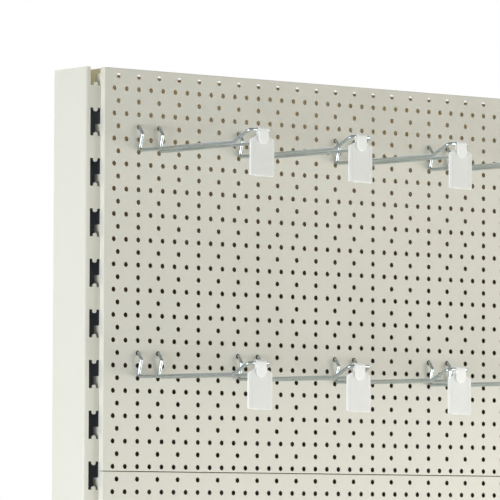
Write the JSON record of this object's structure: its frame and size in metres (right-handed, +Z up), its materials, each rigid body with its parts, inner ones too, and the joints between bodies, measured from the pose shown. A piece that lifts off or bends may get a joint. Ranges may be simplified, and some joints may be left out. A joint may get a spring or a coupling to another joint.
{
  "type": "perforated gondola wall bay",
  "caption": "Free-standing shop wall bay: slotted uprights, perforated steel panels, looped wire hooks and flip-up ticket holders.",
  "frame": {"origin": "centre of the overall box on the floor", "axes": "+Z up, the shopping side faces -Y, +X to the shopper's right"},
  "size_m": [0.6526, 0.405, 1.35],
  "materials": {
    "powder_coat": "satin",
    "inner_coat": "satin",
    "zinc": "satin",
    "foot_zinc": "satin",
    "wire": "satin",
    "ticket_plastic": "satin"
  },
  "bodies": {
    "bay": {"upright_left": "powder_coat", "upright_right": "powder_coat", "peg_panel_top": "powder_coat", "peg_panel_middle": "powder_coat", "peg_panel_bottom": "powder_coat", "rear_panel_top": "powder_coat", "rear_panel_middle": "powder_coat", "rear_panel_bottom": "powder_coat", "tie_bar_low": "inner_coat", "tie_bar_high": "inner_coat", "tie_bolts_low": "zinc", "tie_bolts_high": "zinc", "base_leg_left": "powder_coat", "base_leg_right": "powder_coat", "kick_plate": "powder_coat", "base_shelf": "powder_coat", "foot_lock_nuts": "zinc"},
    "foot_rear_left": {"foot_rear_left": "foot_zinc"},
    "foot_rear_right": {"foot_rear_right": "foot_zinc"},
    "foot_front_left": {"foot_front_left": "foot_zinc"},
    "foot_front_right": {"foot_front_right": "foot_zinc"},
    "hook_upper_1": {"hook_upper_1": "wire"},
    "hook_upper_2": {"hook_upper_2": "wire"},
    "hook_upper_3": {"hook_upper_3": "wire"},
    "hook_upper_4": {"hook_upper_4": "wire"},
    "hook_upper_5": {"hook_upper_5": "wire"},
    "hook_lower_1": {"hook_lower_1": "wire"},
    "hook_lower_2": {"hook_lower_2": "wire"},
    "hook_lower_3": {"hook_lower_3": "wire"},
    "hook_lower_4": {"hook_lower_4": "wire"},
    "hook_lower_5": {"hook_lower_5": "wire"},
    "ticket_upper_1": {"ticket_upper_1": "ticket_plastic"},
    "ticket_upper_2": {"ticket_upper_2": "ticket_plastic"},
    "ticket_upper_3": {"ticket_upper_3": "ticket_plastic"},
    "ticket_upper_4": {"ticket_upper_4": "ticket_plastic"},
    "ticket_upper_5": {"ticket_upper_5": "ticket_plastic"},
    "ticket_lower_1": {"ticket_lower_1": "ticket_plastic"},
    "ticket_lower_2": {"ticket_lower_2": "ticket_plastic"},
    "ticket_lower_3": {"ticket_lower_3": "ticket_plastic"},
    "ticket_lower_4": {"ticket_lower_4": "ticket_plastic"},
    "ticket_lower_5": {"ticket_lower_5": "ticket_plastic"}
  },
  "joints": [
    {"name": "foot_rear_left_screw", "type": "slide", "parent": "bay", "child": "foot_rear_left", "axis": [0, 0, -1], "range_m": [0, 0.015]},
    {"name": "foot_rear_right_screw", "type": "slide", "parent": "bay", "child": "foot_rear_right", "axis": [0, 0, -1], "range_m": [0, 0.015]},
    {"name": "foot_front_left_screw", "type": "slide", "parent": "bay", "child": "foot_front_left", "axis": [0, 0, -1], "range_m": [0, 0.015]},
    {"name": "foot_front_right_screw", "type": "slide", "parent": "bay", "child": "foot_front_right", "axis": [0, 0, -1], "range_m": [0, 0.015]},
    {"name": "hook_upper_1_tilt", "type": "hinge", "parent": "bay", "child": "hook_upper_1", "pos_m": [-0.25, 0.1325, 1.2925], "axis": [-1, 0, 0], "range_deg": [0, 25]},
    {"name": "ticket_upper_1_flip", "type": "hinge", "parent": "hook_upper_1", "child": "ticket_upper_1", "pos_m": [-0.25, -0.049, 1.2783], "axis": [-1, 0, 0], "range_deg": [-40, 150]},
    {"name": "hook_upper_2_tilt", "type": "hinge", "parent": "bay", "child": "hook_upper_2", "pos_m": [-0.125, 0.1325, 1.2925], "axis": [-1, 0, 0], "range_deg": [0, 25]},
    {"name": "ticket_upper_2_flip", "type": "hinge", "parent": "hook_upper_2", "child": "ticket_upper_2", "pos_m": [-0.125, -0.049, 1.2783], "axis": [-1, 0, 0], "range_deg": [-40, 150]},
    {"name": "hook_upper_3_tilt", "type": "hinge", "parent": "bay", "child": "hook_upper_3", "pos_m": [0, 0.1325, 1.2925], "axis": [-1, 0, 0], "range_deg": [0, 25]},
    {"name": "ticket_upper_3_flip", "type": "hinge", "parent": "hook_upper_3", "child": "ticket_upper_3", "pos_m": [0, -0.049, 1.2783], "axis": [-1, 0, 0], "range_deg": [-40, 150]},
    {"name": "hook_upper_4_tilt", "type": "hinge", "parent": "bay", "child": "hook_upper_4", "pos_m": [0.125, 0.1325, 1.2925], "axis": [-1, 0, 0], "range_deg": [0, 25]},
    {"name": "ticket_upper_4_flip", "type": "hinge", "parent": "hook_upper_4", "child": "ticket_upper_4", "pos_m": [0.125, -0.049, 1.2783], "axis": [-1, 0, 0], "range_deg": [-40, 150]},
    {"name": "hook_upper_5_tilt", "type": "hinge", "parent": "bay", "child": "hook_upper_5", "pos_m": [0.25, 0.1325, 1.2925], "axis": [-1, 0, 0], "range_deg": [0, 25]},
    {"name": "ticket_upper_5_flip", "type": "hinge", "parent": "hook_upper_5", "child": "ticket_upper_5", "pos_m": [0.25, -0.049, 1.2783], "axis": [-1, 0, 0], "range_deg": [-40, 150]},
    {"name": "hook_lower_1_tilt", "type": "hinge", "parent": "bay", "child": "hook_lower_1", "pos_m": [-0.25, 0.1325, 1.0675], "axis": [-1, 0, 0], "range_deg": [0, 25]},
    {"name": "ticket_lower_1_flip", "type": "hinge", "parent": "hook_lower_1", "child": "ticket_lower_1", "pos_m": [-0.25, -0.049, 1.0533], "axis": [-1, 0, 0], "range_deg": [-40, 150]},
    {"name": "hook_lower_2_tilt", "type": "hinge", "parent": "bay", "child": "hook_lower_2", "pos_m": [-0.125, 0.1325, 1.0675], "axis": [-1, 0, 0], "range_deg": [0, 25]},
    {"name": "ticket_lower_2_flip", "type": "hinge", "parent": "hook_lower_2", "child": "ticket_lower_2", "pos_m": [-0.125, -0.049, 1.0533], "axis": [-1, 0, 0], "range_deg": [-40, 150]},
    {"name": "hook_lower_3_tilt", "type": "hinge", "parent": "bay", "child": "hook_lower_3", "pos_m": [0, 0.1325, 1.0675], "axis": [-1, 0, 0], "range_deg": [0, 25]},
    {"name": "ticket_lower_3_flip", "type": "hinge", "parent": "hook_lower_3", "child": "ticket_lower_3", "pos_m": [0, -0.049, 1.0533], "axis": [-1, 0, 0], "range_deg": [-40, 150]},
    {"name": "hook_lower_4_tilt", "type": "hinge", "parent": "bay", "child": "hook_lower_4", "pos_m": [0.125, 0.1325, 1.0675], "axis": [-1, 0, 0], "range_deg": [0, 25]},
    {"name": "ticket_lower_4_flip", "type": "hinge", "parent": "hook_lower_4", "child": "ticket_lower_4", "pos_m": [0.125, -0.049, 1.0533], "axis": [-1, 0, 0], "range_deg": [-40, 150]},
    {"name": "hook_lower_5_tilt", "type": "hinge", "parent": "bay", "child": "hook_lower_5", "pos_m": [0.25, 0.1325, 1.0675], "axis": [-1, 0, 0], "range_deg": [0, 25]},
    {"name": "ticket_lower_5_flip", "type": "hinge", "parent": "hook_lower_5", "child": "ticket_lower_5", "pos_m": [0.25, -0.049, 1.0533], "axis": [-1, 0, 0], "range_deg": [-40, 150]}
  ]
}
